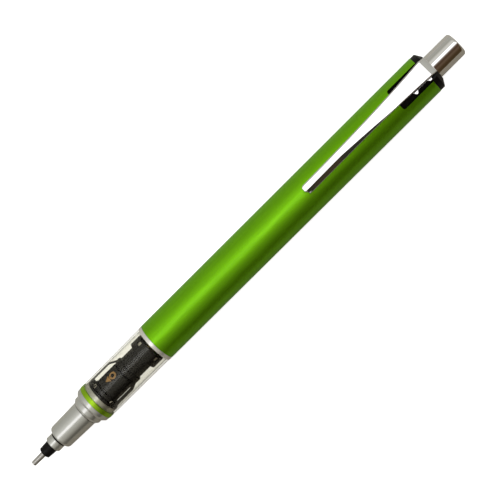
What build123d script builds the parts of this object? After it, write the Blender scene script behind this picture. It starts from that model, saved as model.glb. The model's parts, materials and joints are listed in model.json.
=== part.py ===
from build123d import *
import math
import os

# Push-button holder for fine leads, with an engine that turns the lead a little at every
# touch of the paper. Millimetres. Every piece is drawn standing on its tip, along +Z, with
# the clip on the +X side, and is laid down at the end: tip towards -X, clip on top.

# ---- driving dimensions -------------------------------------------------------------------
LENGTH = 142.4              # tip of the lead pipe to the end of the button
LEAD_R = 0.28               # fine lead, nominally 0.5 mm
GAP = 0.05                  # radial clearance of a running fit
SEAT = 0.10                 # end clearance between pieces of different bodies

BARREL_R = 5.25
BARREL_BORE_R = 4.6
BARREL_FRONT = 42.81
BARREL_REAR = 132.1

SLEEVE_OUT = 3.75           # how far the lead pipe stands out of the slider
SLIDER_STROKE = 3.0         # the slider goes back into the nose
FEED_STROKE = 2.5           # travel of the button and the chuck
CUSHION_STROKE = 0.25       # axial travel of the rotor between its cams

# ---- stations along the axis --------------------------------------------------------------
BUSH_FRONT = 6.68
BUSH_NECK = 8.6
NOSE_FRONT = 9.08
NOSE_GROOVE = 18.02
ROTOR_FRONT = 18.65
COLLAR_FRONT = 20.09
RING_FRONT = 21.61
SHANK_REAR = 22.2            # end of the nose's screw shank
GRIP_FRONT = 22.75
FRAME_FRONT = 24.12
CAM_FRONT = 25.15
DRUM_FRONT = 25.95
DRUM_REAR = 31.75
COLLAR_START = 32.25
WAIST_FRONT = 33.55
REAR_COLLAR = 37.9
SPINDLE_REAR = 40.35
FRAME_REAR = 40.85
GRIP_REAR = 41.81
SPIGOT_REAR = 49.5
NOTCH_FRONT = 122.8
PLUG_REAR = 134.4
BUTTON_REAR = LENGTH

# ---- radii shared by pieces that fit each other --------------------------------------------
SLIDER_R = 1.70
CONE_MOUTH_R = 1.52
PIPE_R = 0.76
PIPE_MOUTH_R = 0.64
PIPE_REAR = 9.2
BRAKE_R = 1.13
BUSH_R = 2.18
BUSH_NECK_R = 1.98
BUSH_SHANK_REAR = 12.2
NOSE_BORE_R = 2.6
STEP_R = 4.05
THREAD_R = 3.35             # screw joint of nose and collar, drawn plain
JOINT_SLEEVE_R = 4.4
GRIP_R = 5.07               # at its front end, a little less than the barrel
GRIP_BORE_R = 4.65
SPIGOT_R = 4.58
SPIGOT_BORE_R = 3.9
DRUM_R = 3.3
SPINDLE_R = 1.9             # tube of the rotor behind its drum
ROTOR_SLEEVE_R = 2.4        # its sleeve in front of the drum
CHUCK_STEM_R = 1.1
CHUCK_TUBE_R = 1.4
WAIST_R = 3.14
TANK_R = 2.6
TANK_BORE_R = 2.1
BUTTON_R = 3.13
TOOTH_COUNT = 24
TOOTH_HEIGHT = 0.3

TIP_TO_CENTRE = LENGTH / 2


# ---- building blocks ----------------------------------------------------------------------
def rod(start, end, radius, end_radius=None):
    """A round bar or cone along the axis, between two stations."""
    if end_radius is None or abs(end_radius - radius) < 1e-9:
        solid = Cylinder(radius, end - start, align=(Align.CENTER, Align.CENTER, Align.MIN))
    else:
        solid = Cone(
            radius, end_radius, end - start, align=(Align.CENTER, Align.CENTER, Align.MIN)
        )
    return Pos(0, 0, start) * solid


def tube(start, end, radius, bore, end_radius=None, end_bore=None):
    """A round tube between two stations, straight or tapered."""
    length = end - start
    slope = 0 if end_bore is None else (end_bore - bore) / length
    rear_bore = bore + slope * (length + SEAT)
    front_bore = bore - slope * SEAT
    return rod(start, end, radius, end_radius) - rod(
        start - SEAT, end + SEAT, front_bore, rear_bore
    )


def block(x_range, y_range, z_range):
    """A straight-sided block given by its limits on each axis."""
    size = [high - low for low, high in (x_range, y_range, z_range)]
    middle = [(high + low) / 2 for low, high in (x_range, y_range, z_range)]
    return Pos(*middle) * Box(*size)


def edges_at(solid, station, radius):
    """The circular edges of a solid at one station and radius."""
    return [
        edge
        for edge in solid.edges().filter_by(GeomType.CIRCLE)
        if abs(edge.center(CenterOf.BOUNDING_BOX).Z - station) < 1e-3
        and abs(edge.radius - radius) < 1e-3
    ]


def coil(start, end, mean_radius, wire_radius, turns):
    """A round-wire spring between two stations, its ends half a wire inside them."""
    height = end - start - 2 * wire_radius - 2 * SEAT
    path = Helix(height / turns, height, mean_radius)
    path = Pos(0, 0, start + wire_radius + SEAT) * path
    section = Plane(origin=path @ 0, z_dir=path % 0) * Circle(wire_radius)
    return sweep(section, path=path, is_frenet=True)


def saw_teeth(station, inner, outer, direction, turn=0.0):
    """A ring of radial ridges that stand on a station, pointing along the axis."""
    pitch = 360 / TOOTH_COUNT
    middle = (inner + outer) / 2
    half_width = math.pi * middle / TOOTH_COUNT * 0.7
    ridge = Polyline(
        (-half_width, 0), (0, direction * TOOTH_HEIGHT), (half_width, 0), close=True
    )
    profile = Plane(origin=(inner, 0, station), x_dir=(0, 1, 0), z_dir=(1, 0, 0)) * make_face(
        ridge
    )
    tooth = extrude(profile, outer - inner)
    teeth = [Rot(0, 0, turn + index * pitch) * tooth for index in range(TOOTH_COUNT)]
    return teeth


# ---- writing tip ---------------------------------------------------------------------------
def lead_sleeve():
    pipe = rod(0, SLEEVE_OUT, PIPE_MOUTH_R, PIPE_R) + rod(SLEEVE_OUT, PIPE_REAR, PIPE_R)
    pipe = fillet(edges_at(pipe, 0, PIPE_MOUTH_R), 0.2)
    return pipe - rod(-SEAT, PIPE_REAR + SEAT, LEAD_R + 0.03)


def slider():
    """Black cone, its guide in the bush and the flange that stops it falling out."""
    flange_front = 12.3
    flange_rear = 13.4
    cone = rod(SLEEVE_OUT, BUSH_FRONT, CONE_MOUTH_R, SLIDER_R)
    cone = chamfer(edges_at(cone, SLEEVE_OUT, CONE_MOUTH_R), 0.22)
    body = cone + rod(BUSH_FRONT, flange_front, SLIDER_R)
    body += rod(flange_front, flange_rear, 2.3)
    body -= rod(SLEEVE_OUT - SEAT, PIPE_REAR, PIPE_R)
    return body - rod(PIPE_REAR - 0.01, flange_rear + SEAT, BRAKE_R + 0.02)


def lead_brake():
    return tube(PIPE_REAR + 0.1, PIPE_REAR + 1.9, BRAKE_R, LEAD_R + 0.03)


def tip_bush():
    head = rod(BUSH_FRONT, BUSH_NECK, BUSH_R)
    head = fillet(edges_at(head, BUSH_FRONT, BUSH_R), 0.28)
    body = head + rod(BUSH_NECK, BUSH_SHANK_REAR, BUSH_NECK_R)
    return body - rod(BUSH_FRONT - SEAT, BUSH_SHANK_REAR + SEAT, SLIDER_R + GAP)


def nose_cone():
    """Turned nose: a long first step, a groove, a wider second step and a screw shank."""
    groove = 0.12
    front = rod(NOSE_FRONT, NOSE_GROOVE, 3.20, 3.44)
    front = fillet(edges_at(front, NOSE_FRONT, 3.20), 0.7)
    step = rod(NOSE_GROOVE + groove, COLLAR_FRONT - groove, STEP_R)
    step = fillet(edges_at(step, NOSE_GROOVE + groove, STEP_R), 0.5)
    step = fillet(edges_at(step, COLLAR_FRONT - groove, STEP_R), 0.1)
    neck = rod(NOSE_GROOVE - groove, COLLAR_FRONT, 3.3)
    shank = rod(COLLAR_FRONT - 2 * groove, SHANK_REAR, THREAD_R - 0.02)
    body = front + neck + step + shank
    body -= rod(NOSE_FRONT - SEAT, BUSH_SHANK_REAR, BUSH_NECK_R)
    return body - rod(BUSH_SHANK_REAR, SHANK_REAR + SEAT, NOSE_BORE_R)


def front_joint():
    """Turned collar with a sleeve that carries the green ring and a thin plug in the grip."""
    shoulder, shoulder_r = COLLAR_FRONT + 0.5, 4.92
    collar = rod(COLLAR_FRONT, shoulder, 4.5, shoulder_r)
    collar += rod(shoulder, RING_FRONT, shoulder_r, 5.02)
    collar = fillet(edges_at(collar, shoulder, shoulder_r), 0.25)
    sleeve = rod(RING_FRONT, GRIP_FRONT, JOINT_SLEEVE_R)
    plug = rod(GRIP_FRONT, FRAME_FRONT - SEAT, GRIP_BORE_R - 0.03)
    body = collar + sleeve + plug
    body -= rod(COLLAR_FRONT - SEAT, SHANK_REAR + SEAT, THREAD_R)
    return body - rod(SHANK_REAR + SEAT / 2, FRAME_FRONT, 4.1)


def accent_ring():
    ring = tube(RING_FRONT, GRIP_FRONT, GRIP_R, JOINT_SLEEVE_R)
    return fillet(edges_at(ring, RING_FRONT, GRIP_R), 0.12)


# ---- clear grip and the rings beside it ------------------------------------------------------
def clear_grip():
    """Clear tube over the engine, with a spigot that carries ring and barrel."""
    body = rod(GRIP_FRONT, GRIP_REAR, GRIP_R, BARREL_R - 0.04)
    body = fillet(edges_at(body, GRIP_FRONT, GRIP_R), 0.1)
    body += rod(GRIP_REAR, SPIGOT_REAR, SPIGOT_R)
    body -= rod(GRIP_FRONT - SEAT, FRAME_REAR + 0.4, GRIP_BORE_R)
    return body - rod(FRAME_REAR, SPIGOT_REAR + SEAT, SPIGOT_BORE_R)


def middle_ring():
    ring = tube(GRIP_REAR, BARREL_FRONT, BARREL_R - 0.02, SPIGOT_R)
    return fillet(edges_at(ring, GRIP_REAR, BARREL_R - 0.02), 0.12)


# ---- turning engine --------------------------------------------------------------------------
RAIL_ANGLES = (-81, 68, 173)     # about the axis, from the clip towards -Y
RAIL_OUTER_R = GRIP_BORE_R - 0.1
RAIL_WIDTH = 1.2
RAIL_THICK = 0.4
RAIL_BEND = 30.75
COLLAR_R = 3.6
WINDOW_ANGLES = (-156, -96, -36, 57, 117, 177)
CAM_SEAT_R = 3.0
CAM_OUTER_R = 3.2
CAM_THICK = 0.45
ARM_THICK = 0.22


def engine_frame():
    """Open frame around the drum: two front rings, three rails and the collar behind them."""
    front_ring = tube(FRAME_FRONT, FRAME_FRONT + 0.4, RAIL_OUTER_R, 4.2)
    cam_ring = tube(CAM_FRONT, CAM_FRONT + CAM_THICK, CAM_OUTER_R + 0.3, CAM_OUTER_R)
    body = front_ring + cam_ring
    for angle in RAIL_ANGLES:
        side = Polyline(
            (RAIL_OUTER_R, FRAME_FRONT), (RAIL_OUTER_R, RAIL_BEND),
            (COLLAR_R, COLLAR_START + 0.3), (COLLAR_R - RAIL_THICK, COLLAR_START + 0.3),
            (RAIL_OUTER_R - RAIL_THICK, RAIL_BEND), (RAIL_OUTER_R - RAIL_THICK, FRAME_FRONT),
            close=True,
        )
        rail = extrude(Plane.XZ * make_face(side), RAIL_WIDTH / 2, both=True)
        half = RAIL_WIDTH / 2
        arm = block((3.3, 4.3), (-half, half), (CAM_FRONT, CAM_FRONT + ARM_THICK))
        body += Rot(0, 0, angle) * (rail + arm)
    collar = tube(COLLAR_START, WAIST_FRONT - 0.15, COLLAR_R, CAM_SEAT_R)
    collar += tube(WAIST_FRONT - 0.15, WAIST_FRONT, COLLAR_R, CAM_SEAT_R, COLLAR_R - 0.2, CAM_SEAT_R)
    return body + collar


def engine_body():
    """Narrow rear housing of the engine; windows in its end collar show the retainer."""
    rear_collar_r = 3.95
    bore = 2.6
    end_wall = 0.25
    spigot = tube(WAIST_FRONT - 0.2, WAIST_FRONT, CAM_SEAT_R - 0.02, bore)
    waist = tube(WAIST_FRONT, REAR_COLLAR - 0.3, WAIST_R, bore)
    flare = tube(REAR_COLLAR - 0.3, REAR_COLLAR, WAIST_R, bore, rear_collar_r, bore)
    collar = tube(REAR_COLLAR, FRAME_REAR, rear_collar_r, bore)
    body = spigot + waist + flare + collar
    body -= rod(RETAINER_FLANGE, FRAME_REAR - end_wall, FLANGE_R + 0.02)
    for angle in WINDOW_ANGLES:
        window = block((3.0, 5.0), (-0.65, 0.65), (WINDOW_FRONT, FRAME_REAR - end_wall))
        body -= Rot(0, 0, angle) * window
    return body


def lower_cam():
    ring = tube(CAM_FRONT, CAM_FRONT + CAM_THICK, CAM_OUTER_R - 0.03, 2.55)
    for tooth in saw_teeth(CAM_FRONT + CAM_THICK - 0.01, 2.6, 3.1, 1, turn=180 / TOOTH_COUNT):
        ring += tooth
    return ring


def upper_cam():
    front = COLLAR_START + 0.45
    ring = tube(front, front + CAM_THICK + 0.1, CAM_SEAT_R - 0.02, 2.1)
    for tooth in saw_teeth(front + 0.01, 2.3, 2.9, -1):
        ring += tooth
    return ring


def rotor():
    """Drum with teeth at both ends, a front sleeve round the chuck and a rear spindle."""
    chuck_room_r = 2.0
    spindle_bore_r = CHUCK_TUBE_R + GAP
    drum = tube(DRUM_FRONT, DRUM_REAR, DRUM_R, chuck_room_r)
    front = tube(ROTOR_FRONT, DRUM_FRONT, ROTOR_SLEEVE_R, chuck_room_r)
    seat = tube(SPRING_SEAT - 0.6, SPRING_SEAT, 2.05, 1.2)
    step = tube(DRUM_REAR - 0.02, DRUM_REAR + 0.3, 2.1, spindle_bore_r)
    rear = tube(DRUM_REAR, SPINDLE_REAR, SPINDLE_R, spindle_bore_r)
    body = drum + front + seat + step + rear
    for tooth in saw_teeth(DRUM_FRONT + 0.01, 2.6, 3.1, -1):
        body += tooth
    for tooth in saw_teeth(DRUM_REAR - 0.01, 2.35, 2.9, 1):
        body += tooth
    return body


CANCELLER_FRONT = 33.75
CUSHION_FRONT = 34.75
RETAINER_FRONT = 37.6
RETAINER_FLANGE = 39.2
WINDOW_FRONT = RETAINER_FLANGE + 0.2
FLANGE_R = 3.43


def torque_canceller():
    return tube(CANCELLER_FRONT, CUSHION_FRONT, 2.5, SPINDLE_R + GAP)


def cushion_spring():
    return coil(CUSHION_FRONT, RETAINER_FRONT, 2.25, 0.12, 4)


def spring_retainer():
    sleeve = tube(RETAINER_FRONT, SPINDLE_REAR, 2.58, SPINDLE_R + 0.12)
    return sleeve + tube(RETAINER_FLANGE, SPINDLE_REAR, FLANGE_R, SPINDLE_R + 0.12)


# ---- chuck -----------------------------------------------------------------------------------
CHUCK_FRONT = 19.25
CHUCK_REAR = 32.45
SPRING_SEAT = 22.65
TUBE_FRONT = 30.65
TUBE_REAR = 43.35


def chuck():
    """Brass collet: conical head split into three jaws on a thin stem."""
    head_r, cone_front, cone_rear = 1.7, CHUCK_FRONT + 0.7, CHUCK_FRONT + 2.6
    head = rod(CHUCK_FRONT, cone_front, head_r) + rod(cone_front, cone_rear, head_r, CHUCK_STEM_R)
    head = chamfer(edges_at(head, CHUCK_FRONT, head_r), 0.25)
    body = head + rod(cone_rear, CHUCK_REAR, CHUCK_STEM_R)
    body -= rod(CHUCK_FRONT - SEAT, CHUCK_REAR + SEAT, LEAD_R + 0.03)
    for angle in (30, 150, 270):
        slot = block((0, 2), (-0.11, 0.11), (CHUCK_FRONT - SEAT, CHUCK_FRONT + 6.2))
        body -= Rot(0, 0, angle) * slot
    return body


def clamp_ring():
    """Ring whose tapered bore squeezes the jaws."""
    front = CHUCK_FRONT + 1.1
    ring = rod(front, front + 1.6, 1.95)
    taper = rod(front - SEAT, front + 1.3, 1.68, 1.24) + rod(front + 1.2, front + 1.7, 1.24)
    return ring - taper


def chuck_spring():
    return coil(SPRING_SEAT, TUBE_FRONT, 1.5, 0.13, 9)


def chuck_tube():
    flange_rear = TUBE_FRONT + 0.6
    body = rod(TUBE_FRONT, flange_rear, 1.85) + rod(flange_rear, TUBE_REAR, CHUCK_TUBE_R)
    body -= rod(TUBE_FRONT - SEAT, CHUCK_REAR + SEAT, CHUCK_STEM_R)
    return body - rod(CHUCK_REAR, TUBE_REAR + SEAT, 0.9)


# ---- lead tank, button and eraser --------------------------------------------------------------
TANK_FRONT = 43.65
TANK_REAR = 135.6
FLANGE_FRONT = 62.0
ERASER_FRONT = 130.0
ERASER_REAR = 139.2


def lead_tank():
    """Long tube with a funnel at the front, a spring flange and a wider end for the eraser."""
    body = rod(TANK_FRONT, TANK_REAR, TANK_R)
    body = chamfer(edges_at(body, TANK_FRONT, TANK_R), 0.6)
    body += rod(FLANGE_FRONT, FLANGE_FRONT + 1.2, BARREL_BORE_R - 0.15)
    body -= rod(TANK_FRONT + 3.0, ERASER_FRONT, TANK_BORE_R)
    body -= rod(TANK_FRONT + 1.5, TANK_FRONT + 3.0, 0.9, TANK_BORE_R)
    body -= rod(TANK_FRONT - SEAT, TANK_FRONT + 2.0, 0.9)
    return body - rod(ERASER_FRONT - 0.1, TANK_REAR + SEAT, 2.3)


def tank_spring():
    return coil(SPIGOT_REAR, FLANGE_FRONT, 4.2, 0.2, 7)


def spare_leads():
    """Three leads lying in the tank."""
    rods = []
    for index, start in enumerate((49.0, 50.5, 52.0)):
        lead = Rot(0, 0, 60 + 62 * index) * Pos(1.72, 0, 0) * rod(start, start + 60, LEAD_R)
        rods.append(lead)
    return Compound([lead.solid() for lead in rods])


def eraser():
    body = rod(ERASER_FRONT + 0.3, ERASER_REAR, 2.27)
    return fillet(edges_at(body, ERASER_REAR, 2.27), 0.3)


def button_cap():
    body = rod(PLUG_REAR, BUTTON_REAR, BUTTON_R)
    body = fillet(edges_at(body, BUTTON_REAR, BUTTON_R), 0.8)
    body = fillet(edges_at(body, PLUG_REAR, BUTTON_R), 0.1)
    return body - rod(PLUG_REAR - SEAT, BUTTON_REAR - 0.8, TANK_R + 0.04)


# ---- barrel, plug and clip ---------------------------------------------------------------------
NOTCH_WIDTH = 6.0
CLIP_TIP = 93.35
CLIP_BEND = 132.55
CLIP_REAR = 134.35
CLIP_TIP_WIDTH = 2.55
CLIP_ROOT_WIDTH = 4.45
CLIP_SKEW = 0.68            # degrees; the clip stands a little askew to the barrel
SKEW_CENTRE = 118.0
CLIP_TIP_TOP = 6.75         # height of the face above the axis
CLIP_ROOT_TOP = 7.05
LEAF_TOP = 5.25
LEAF_FRONT = 126.85
SHEET = 0.45                # thickness of the clip's metal
LUG_REACH = 2.75            # two lugs on the leaf, both on the -Y side


def barrel():
    body = tube(BARREL_FRONT, BARREL_REAR, BARREL_R, BARREL_BORE_R)
    half = NOTCH_WIDTH / 2
    notch = block((2.0, 7.0), (-half, half), (NOTCH_FRONT, BARREL_REAR + 1))
    corners = notch.edges().filter_by(Axis.X).group_by(Axis.Z)[0]
    return body - fillet(corners, 0.5)


def tail_plug():
    """Black plug in the end of the barrel, flat under the clip, hollow for tank and button."""
    core = rod(116.0, BARREL_REAR, BARREL_BORE_R - 0.02)
    shoulder = PLUG_REAR - 0.95
    head = rod(BARREL_REAR, shoulder, 5.18) + rod(shoulder, PLUG_REAR, 5.18, 3.6)
    head = fillet(edges_at(head, shoulder, 5.18), 0.3)
    body = core + head
    body -= block((4.45, 7.0), (-6, 6), (NOTCH_FRONT, PLUG_REAR + 1))
    body -= rod(115.9, PLUG_REAR + 1, TANK_R + 0.12)
    return body - rod(PLUG_REAR - FEED_STROKE - 0.4, PLUG_REAR + 1, BUTTON_R + 0.1)


def clip():
    """Tapered sheet, sloped down at its root, with a lugged leaf folded back under the face."""
    slope = CLIP_REAR - CLIP_BEND
    side = Polyline(
        (CLIP_TIP_TOP, CLIP_TIP + 0.3),
        (CLIP_ROOT_TOP, CLIP_BEND),
        (CLIP_ROOT_TOP - slope * 0.85, CLIP_REAR),
        (LEAF_TOP - SHEET, CLIP_REAR),
        (LEAF_TOP - SHEET, LEAF_FRONT),
        (LEAF_TOP, LEAF_FRONT),
        (LEAF_TOP, CLIP_REAR - 0.9),
        (CLIP_ROOT_TOP - SHEET, CLIP_BEND - 0.2),
        (CLIP_TIP_TOP - SHEET, CLIP_TIP + 2.4),
        (BARREL_R + 0.12, CLIP_TIP + 1.6),
        (BARREL_R + 0.12, CLIP_TIP + 0.6),
        (CLIP_TIP_TOP - 0.7, CLIP_TIP),
        (CLIP_TIP_TOP - 0.3, CLIP_TIP),
        close=True,
    )
    strip = extrude(Plane.XZ * make_face(side), CLIP_ROOT_WIDTH, both=True)
    tip_half = CLIP_TIP_WIDTH / 2
    root_half = CLIP_ROOT_WIDTH / 2
    arm = CLIP_BEND - CLIP_TIP
    flare = [
        (tip_half + (root_half - tip_half) * share ** 2.8, CLIP_TIP + arm * share)
        for share in (0.03, 0.35, 0.55, 0.7, 0.85, 1)
    ]
    edge = [(tip_half * 0.5, CLIP_TIP)] + flare + [(root_half, CLIP_REAR + 1)]
    taper = Polyline(edge + [(-aside, along) for aside, along in reversed(edge)], close=True)
    plan = Plane(origin=(0, 0, 0), x_dir=(0, 1, 0), z_dir=(1, 0, 0))
    body = strip & extrude(plan * make_face(taper), 10)
    for along in (LEAF_FRONT + 0.75, CLIP_BEND - 0.9):
        body += block((LEAF_TOP - SHEET, LEAF_TOP), (0, LUG_REACH), (along - 0.75, along + 0.75))
    pivot = Pos(0, 0, SKEW_CENTRE)
    return pivot * Rot(CLIP_SKEW, 0, 0) * pivot.inverse() * body


# ---- export ------------------------------------------------------------------------------------
PIECES = (
    lead_sleeve, slider, lead_brake, tip_bush, nose_cone, front_joint, accent_ring,
    clear_grip, middle_ring, engine_frame, engine_body, lower_cam, upper_cam, rotor,
    torque_canceller, cushion_spring, spring_retainer, chuck, clamp_ring, chuck_spring,
    chuck_tube, lead_tank, tank_spring, spare_leads, eraser, button_cap, barrel,
    tail_plug, clip,
)

LAID_DOWN = Location(
    Plane(origin=(-TIP_TO_CENTRE, 0, BARREL_R), x_dir=(0, 0, 1), z_dir=(1, 0, 0))
)

os.makedirs("parts", exist_ok=True)
for piece in PIECES:
    export_step(LAID_DOWN * piece(), f"parts/{piece.__name__}.step")
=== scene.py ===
import json
import math

import bmesh
import bpy
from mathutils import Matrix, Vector


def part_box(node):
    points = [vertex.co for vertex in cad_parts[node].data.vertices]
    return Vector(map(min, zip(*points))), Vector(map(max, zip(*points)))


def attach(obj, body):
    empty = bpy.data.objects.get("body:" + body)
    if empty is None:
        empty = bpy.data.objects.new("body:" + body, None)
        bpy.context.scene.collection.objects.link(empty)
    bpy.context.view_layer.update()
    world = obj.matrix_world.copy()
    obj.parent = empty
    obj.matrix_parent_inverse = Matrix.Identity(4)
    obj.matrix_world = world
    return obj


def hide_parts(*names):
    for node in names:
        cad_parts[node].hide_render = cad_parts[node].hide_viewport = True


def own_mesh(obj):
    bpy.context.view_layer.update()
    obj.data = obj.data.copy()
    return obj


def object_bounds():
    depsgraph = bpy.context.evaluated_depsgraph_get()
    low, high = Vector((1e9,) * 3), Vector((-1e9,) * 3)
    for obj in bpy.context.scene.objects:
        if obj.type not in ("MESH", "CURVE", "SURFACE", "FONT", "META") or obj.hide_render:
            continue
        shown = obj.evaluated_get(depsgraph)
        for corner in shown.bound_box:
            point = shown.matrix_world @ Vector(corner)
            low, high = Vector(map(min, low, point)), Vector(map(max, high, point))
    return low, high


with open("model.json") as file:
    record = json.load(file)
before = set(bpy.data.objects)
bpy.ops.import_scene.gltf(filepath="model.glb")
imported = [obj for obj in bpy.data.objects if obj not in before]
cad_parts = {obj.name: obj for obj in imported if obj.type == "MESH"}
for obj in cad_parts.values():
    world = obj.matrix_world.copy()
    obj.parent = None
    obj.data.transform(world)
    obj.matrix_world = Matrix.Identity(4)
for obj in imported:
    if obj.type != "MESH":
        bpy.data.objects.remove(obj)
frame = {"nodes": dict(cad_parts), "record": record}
CAD_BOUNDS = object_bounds()
MM = 0.001


# ---- places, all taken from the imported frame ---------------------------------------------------
def ends(node):
    """First and last x of a node."""
    low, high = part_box(node)
    return low.x, high.x


def radius(node):
    """Largest radius of a round node."""
    low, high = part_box(node)
    return (high.y - low.y) / 2


TIP_X = CAD_BOUNDS[0][0]
AXIS_Z = (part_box("accent_ring")[0].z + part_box("accent_ring")[1].z) / 2


def studio_point(x, out, angle):
    """A point at a distance out from the axis, at an angle from straight up towards -Y."""
    return Vector((x, -out * math.sin(angle), AXIS_Z + out * math.cos(angle)))


# ---- mesh helpers ------------------------------------------------------------------------------
def mesh_object(name, verts, faces, smooth=True):
    """A mesh in the scene, from its points and faces."""
    mesh = bpy.data.meshes.new(name)
    mesh.from_pydata(verts, [], faces)
    mesh.update()
    obj = bpy.data.objects.new(name, mesh)
    bpy.context.scene.collection.objects.link(obj)
    if smooth:
        mesh.polygons.foreach_set("use_smooth", [True] * len(mesh.polygons))
    return obj


def weighted_normals(obj):
    modifier = obj.modifiers.new("weighted_normals", "WEIGHTED_NORMAL")
    modifier.keep_sharp = True
    return obj


def rounded(points, steps=5):
    """An outline of (x, r) or (x, r, fillet) points, with its filleted corners as arcs."""
    path = []
    count = len(points)
    for index, point in enumerate(points):
        here = Vector(point[:2])
        if len(point) < 3:
            path.append(here)
            continue
        before = (Vector(points[index - 1][:2]) - here).normalized()
        after = (Vector(points[(index + 1) % count][:2]) - here).normalized()
        half = before.angle(after) / 2
        reach = point[2] / math.tan(half)
        centre = here + (before + after).normalized() * point[2] / math.sin(half)
        start = here + before * reach - centre
        end = here + after * reach - centre
        turn = start.angle_signed(end)
        for step in range(steps + 1):
            angle = -turn * step / steps
            c, s = math.cos(angle), math.sin(angle)
            path.append(centre + Vector((start.x * c - start.y * s, start.x * s + start.y * c)))
    return path


def lathe(name, points, closed=True, segments=144):
    """Turns an outline of (x, r) points about the pencil's axis."""
    path = rounded(points)
    verts, faces, rings = [], [], []
    for x, r in path:
        if r < 1e-7:
            rings.append([len(verts)] * segments)
            verts.append((x, 0.0, AXIS_Z))
            continue
        rings.append(list(range(len(verts), len(verts) + segments)))
        for index in range(segments):
            angle = 2 * math.pi * index / segments
            verts.append(studio_point(x, r, angle)[:])
    pairs = list(zip(rings, rings[1:]))
    if closed:
        pairs.append((rings[-1], rings[0]))
    for ring_a, ring_b in pairs:
        for index in range(segments):
            after = (index + 1) % segments
            corners = [ring_a[index], ring_a[after], ring_b[after], ring_b[index]]
            face = list(dict.fromkeys(corners))
            if len(face) > 2:
                faces.append(face)
    obj = mesh_object(name, verts, faces)
    tidy_normals(obj)
    return smooth_by_angle(obj)


def tidy_normals(obj):
    """Turns all faces outwards."""
    work = bmesh.new()
    work.from_mesh(obj.data)
    bmesh.ops.recalc_face_normals(work, faces=work.faces)
    work.to_mesh(obj.data)
    work.free()


def place(obj, body, material, slot, *nodes):
    """Gives a piece its material and body and hides the CAD nodes that it stands for. The slot is
    not used.
    """
    obj.data.materials.clear()
    obj.data.materials.append(material)
    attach(obj, body)
    if nodes:
        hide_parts(*nodes)
    return obj


def at(station):
    """The x of a station given in millimetres from the tip."""
    return TIP_X + station * MM


def plate(name, outline, low, high):
    """A flat plate: an outline of (x, y) points between two heights."""
    count = len(outline)
    verts = [(x, y, low) for x, y in outline] + [(x, y, high) for x, y in outline]
    faces = [list(range(count))[::-1], list(range(count, 2 * count))]
    for index in range(count):
        after = (index + 1) % count
        faces.append([index, after, after + count, index + count])
    obj = mesh_object(name, verts, faces, smooth=False)
    tidy_normals(obj)
    return obj


def box_piece(name, x_range, y_range, z_range):
    (x0, x1), (y0, y1) = x_range, y_range
    return plate(name, [(x0, y0), (x1, y0), (x1, y1), (x0, y1)], *z_range)


def bevel(obj, width, segments=3, angle=35):
    modifier = obj.modifiers.new("bevel", "BEVEL")
    modifier.width = width
    modifier.segments = segments
    modifier.limit_method = "ANGLE"
    modifier.angle_limit = math.radians(angle)
    modifier.harden_normals = True
    return obj


def bake(obj):
    """Turns an object's modifiers into its mesh."""
    graph = bpy.context.evaluated_depsgraph_get()
    mesh = bpy.data.meshes.new_from_object(obj.evaluated_get(graph))
    obj.modifiers.clear()
    obj.data = mesh
    return obj


def discard(obj):
    bpy.data.objects.remove(obj, do_unlink=True)


def cut(obj, *tools):
    """Takes the tools away from an object."""
    for tool in tools:
        modifier = obj.modifiers.new("cut", "BOOLEAN")
        modifier.operation = "DIFFERENCE"
        modifier.solver = "EXACT"
        modifier.object = tool
        bake(obj)
        discard(tool)
    return obj


def joined(name, parts):
    """One object out of several loose shells."""
    work = bmesh.new()
    for part in parts:
        bake(part)
        work.from_mesh(part.data)
        discard(part)
    mesh = bpy.data.meshes.new(name)
    work.to_mesh(mesh)
    work.free()
    obj = bpy.data.objects.new(name, mesh)
    bpy.context.scene.collection.objects.link(obj)
    mesh.polygons.foreach_set("use_smooth", [True] * len(mesh.polygons))
    return obj


def smooth_by_angle(obj, degrees=32):
    """Smooth shading with crisp edges where faces meet at more than an angle."""
    obj.data.polygons.foreach_set("use_smooth", [True] * len(obj.data.polygons))
    work = bmesh.new()
    work.from_mesh(obj.data)
    for edge in work.edges:
        edge.smooth = not edge.is_manifold or edge.calc_face_angle(0) < math.radians(degrees)
    work.to_mesh(obj.data)
    work.free()
    return weighted_normals(obj)


def swept_sheet(name, path, section, angle=0.0):
    """A sheet that follows a path of (x, r) points in a plane through the axis.

    section(x, index) gives the outline across the sheet, as (aside, out) offsets.
    """
    side = Vector((0, -math.cos(angle), -math.sin(angle)))
    verts, faces = [], []
    count = 0
    for index, here in enumerate(path):
        before = path[max(index - 1, 0)]
        after = path[min(index + 1, len(path) - 1)]
        along = (after - before).normalized()
        for aside, out in section(here.x, index):
            spot = here + Vector((-along.y, along.x)) * out
            verts.append((studio_point(spot.x, spot.y, angle) + side * aside)[:])
        count = len(section(here.x, index))
    for row in range(len(path) - 1):
        for column in range(count):
            after = (column + 1) % count
            a, b = row * count + column, row * count + after
            faces.append([a, b, b + count, a + count])
    faces.append(list(range(count)))
    faces.append(list(range((len(path) - 1) * count, len(path) * count)))
    obj = mesh_object(name, verts, faces)
    tidy_normals(obj)
    return obj


def curved_patch(name, outline, inner, outer, angle, x):
    """A thin plate wrapped round the axis; its outline is (along, around) offsets."""
    count = len(outline)
    verts = []
    for r in (inner, outer):
        for along, around in outline:
            verts.append(studio_point(x + along, r, angle + around / outer)[:])
    faces = [list(range(count))[::-1], list(range(count, 2 * count))]
    for index in range(count):
        after = (index + 1) % count
        faces.append([index, after, after + count, index + count])
    obj = mesh_object(name, verts, faces, smooth=False)
    tidy_normals(obj)
    return obj


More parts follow.
